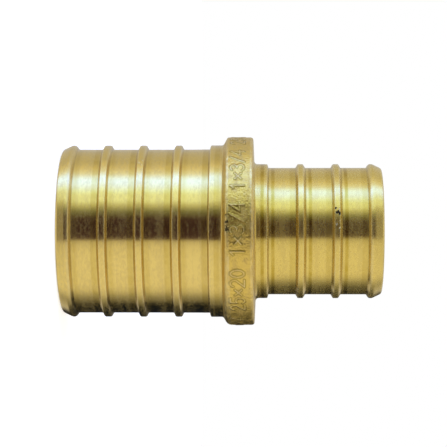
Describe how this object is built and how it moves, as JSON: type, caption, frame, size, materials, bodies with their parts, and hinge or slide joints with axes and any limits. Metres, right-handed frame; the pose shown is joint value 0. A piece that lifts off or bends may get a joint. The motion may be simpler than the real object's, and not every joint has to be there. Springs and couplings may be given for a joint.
{
  "type": "reducing coupling",
  "caption": "Brass reducing coupling: ribbed barbs of different size for crimped plastic pipe, joined by a raised stop collar, with a stepped waterway right through.",
  "frame": {"origin": "centre of the large end face, on the axis", "axes": "+Z along the axis from the large barb to the small one; the part is round, so X and Y are any two directions across it"},
  "size_m": [0.0242, 0.0242, 0.0406],
  "materials": {
    "brass": "bright turned barbs and waterway, satin forged collar"
  },
  "bodies": {
    "root": {"reducing_coupling": "brass"}
  },
  "joints": []
}
